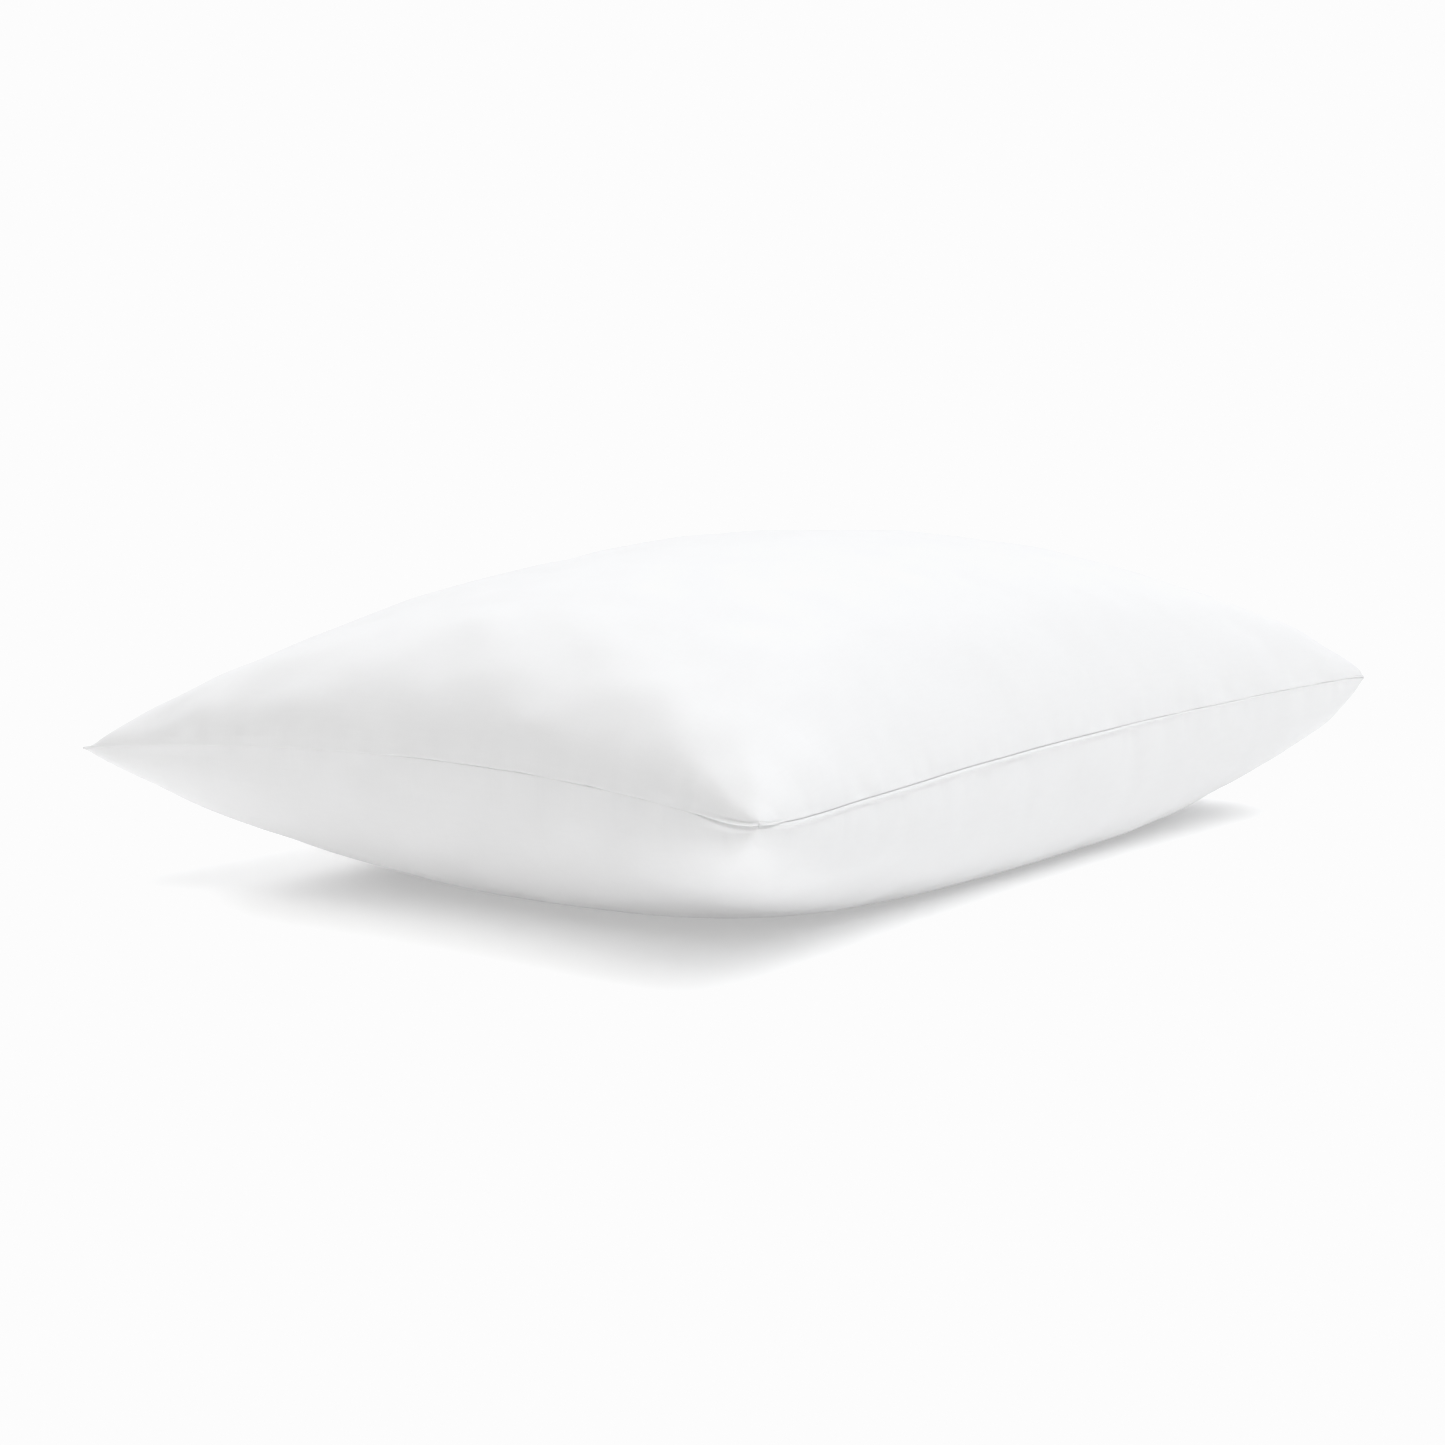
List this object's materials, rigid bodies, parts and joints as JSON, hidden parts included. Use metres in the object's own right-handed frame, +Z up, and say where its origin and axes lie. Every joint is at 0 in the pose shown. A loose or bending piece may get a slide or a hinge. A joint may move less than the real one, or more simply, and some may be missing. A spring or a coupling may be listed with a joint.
{
  "type": "bed pillow",
  "caption": "Plump rectangular bed pillow with plain knife-edge seams, a carded fibre filling in plies and a hanging blank care label.",
  "frame": {"origin": "middle of the flat patch that the pillow rests on, on the floor", "axes": "+Z up; +X along the length, towards the short end that was sewn shut last; Y across the width"},
  "size_m": [0.7636, 0.5096, 0.2103],
  "materials": {
    "ticking": "fine plain-woven cotton, matt",
    "fibre_fill": "carded polyester fibre",
    "thread": "spun polyester sewing thread",
    "label_tape": "woven satin tape, blank"
  },
  "bodies": {
    "pillow": {"top_panel": "ticking", "bottom_panel": "ticking", "fill_ply_1": "fibre_fill", "fill_ply_2": "fibre_fill", "fill_ply_3": "fibre_fill", "fill_ply_4": "fibre_fill", "fill_ply_5": "fibre_fill", "overedge_near_side": "thread", "overedge_far_side": "thread", "overedge_near_end": "thread", "closing_stitches_top": "thread", "closing_stitches_bottom": "thread", "care_label_tab": "label_tape"},
    "label": {"care_label": "label_tape"}
  },
  "joints": [
    {"name": "label_fold", "type": "hinge", "parent": "pillow", "child": "label", "pos_m": [0.35264, 0, 0.10393], "axis": [0, -1, 0], "range_deg": [-12, 185]}
  ]
}
